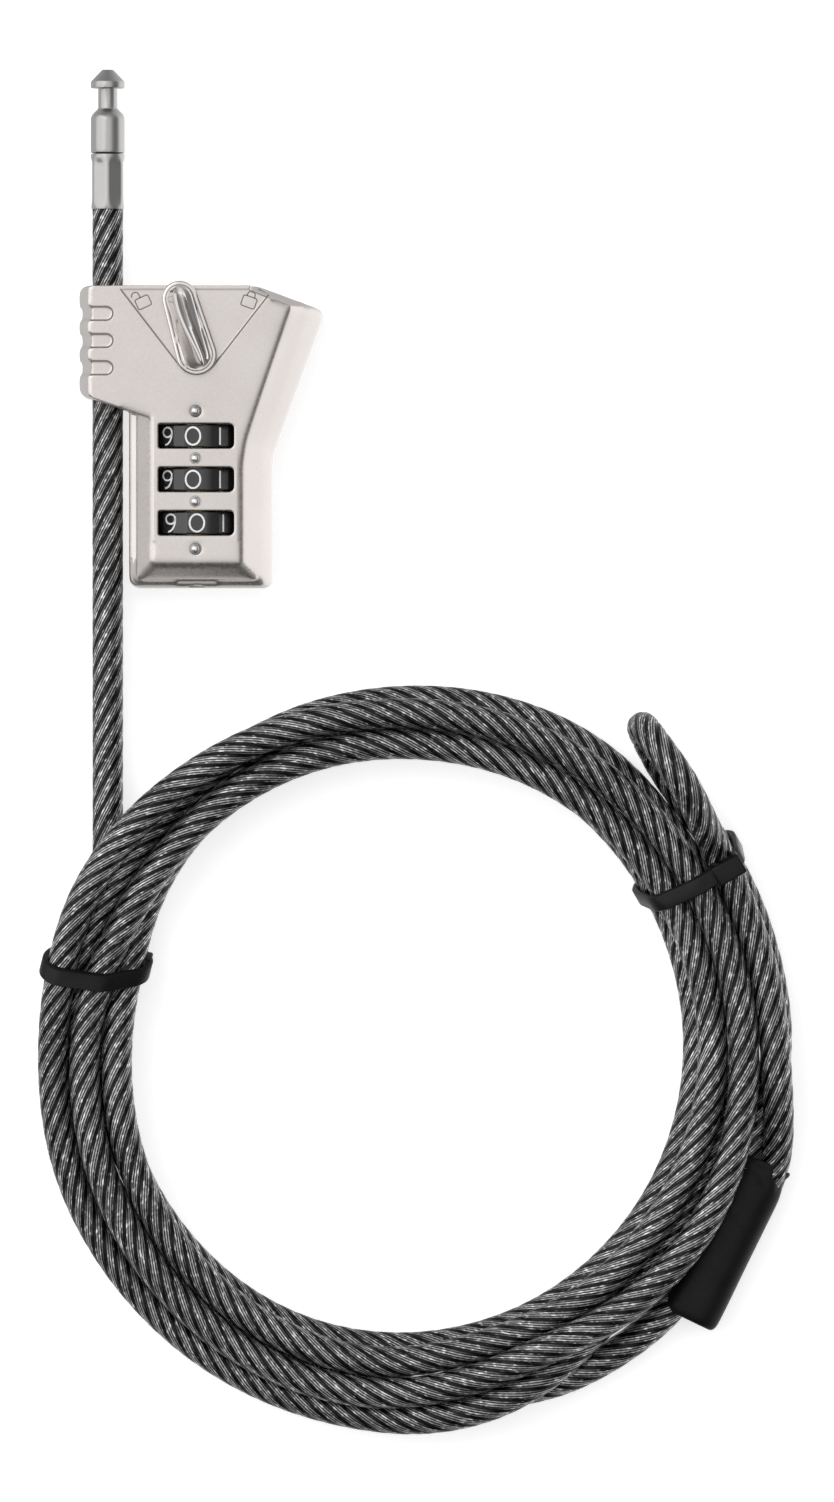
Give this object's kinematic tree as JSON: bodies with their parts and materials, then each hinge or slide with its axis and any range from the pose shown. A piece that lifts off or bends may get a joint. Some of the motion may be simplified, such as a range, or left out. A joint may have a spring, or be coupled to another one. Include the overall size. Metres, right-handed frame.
{
  "type": "laptop cable lock",
  "caption": "Combination cable lock for a laptop: cast housing with number wheels and a turn knob, and a coiled steel cable with a mushroom plug and a crimped eye.",
  "frame": {"origin": "bottom centre of the lock's own box, at its back face; the cable and what is on it lie on the same surface", "axes": "+X across the lock towards its socket side, +Y along the cable towards the plug, +Z out of the front face with the number wheels"},
  "size_m": [0.1217, 0.2196, 0.0242],
  "materials": {
    "cast_housing": "satin pearl nickel plate on a zinc casting, fine grain",
    "back_plate": "satin nickel plate",
    "knob": "polished nickel",
    "index_studs": "bright chrome",
    "screws": "zinc-plated steel",
    "springs": "spring steel",
    "mechanism_steel": "hardened steel",
    "mechanism_brass": "machined",
    "dials": "glossy black, white numbers",
    "plug": "satin turned steel",
    "cable": "smoke-grey clear coat over twisted steel strands",
    "crimp": "swaged",
    "heat_shrink": "matte black, slightly wrinkled",
    "cable_ties": "semi-gloss black nylon"
  },
  "bodies": {
    "lock_case": {"front_housing": "cast_housing", "back_cover": "back_plate", "cover_screw_1": "screws", "cover_screw_2": "screws", "cover_screw_3": "screws", "cover_screw_4": "screws", "detent_spring": "springs", "spindle_spring": "springs", "index_stud_1": "index_studs", "index_stud_2": "index_studs", "index_stud_3": "index_studs", "index_stud_4": "index_studs"},
    "turn_knob": {"knob": "knob", "knob_clip": "springs", "cam": "mechanism_steel"},
    "latch": {"latch_bolt": "mechanism_steel"},
    "spindle_rod": {"spindle": "mechanism_brass"},
    "wheel_1": {"dial_1": "dials", "dial_sleeve_1": "mechanism_brass"},
    "wheel_2": {"dial_2": "dials", "dial_sleeve_2": "mechanism_brass"},
    "wheel_3": {"dial_3": "dials", "dial_sleeve_3": "mechanism_brass"},
    "reset": {"reset_screw": "screws"},
    "cable": {"plug_pin": "plug", "ferrule": "plug", "cable_lead": "cable", "cable_coil": "cable", "cable_eye": "cable", "crimp_sleeve": "crimp", "heat_shrink": "heat_shrink", "cable_tie_1": "cable_ties", "cable_tie_2": "cable_ties"}
  },
  "joints": [
    {"name": "dial_1_spin", "type": "hinge", "parent": "lock_case", "child": "wheel_1", "pos_m": [-0.0007, -0.00037, 0.0091], "axis": [0, 1, 0], "continuous": true},
    {"name": "dial_2_spin", "type": "hinge", "parent": "lock_case", "child": "wheel_2", "pos_m": [-0.0007, -0.00735, 0.0091], "axis": [0, 1, 0], "continuous": true},
    {"name": "dial_3_spin", "type": "hinge", "parent": "lock_case", "child": "wheel_3", "pos_m": [-0.0007, -0.01435, 0.0091], "axis": [0, 1, 0], "continuous": true},
    {"name": "knob_turn", "type": "hinge", "parent": "lock_case", "child": "turn_knob", "pos_m": [-0.00065, 0.0127, 0.0164], "axis": [0, 0, 1], "range_deg": [-38, 0]},
    {"name": "latch_slide", "type": "slide", "parent": "lock_case", "child": "latch", "axis": [1, 0, 0], "range_m": [0, 0.0025]},
    {"name": "spindle_slide", "type": "slide", "parent": "lock_case", "child": "spindle_rod", "axis": [0, 1, 0], "range_m": [-0.0027, 0], "deforming": ["spindle_spring"]},
    {"name": "reset_turn", "type": "hinge", "parent": "lock_case", "child": "reset", "pos_m": [-0.0007, -0.0235, 0.0091], "axis": [0, 1, 0], "range_deg": [0, 90]},
    {"name": "cable_slide", "type": "slide", "parent": "lock_case", "child": "cable", "axis": [0, 1, 0], "range_m": [-0.0124, 0.014]}
  ],
  "couplings": [
    {"joint": "latch_slide", "follows": "knob_turn", "m_per_rad": -0.003634},
    {"joint": "spindle_slide", "follows": "knob_turn", "m_per_rad": 0.003926}
  ]
}
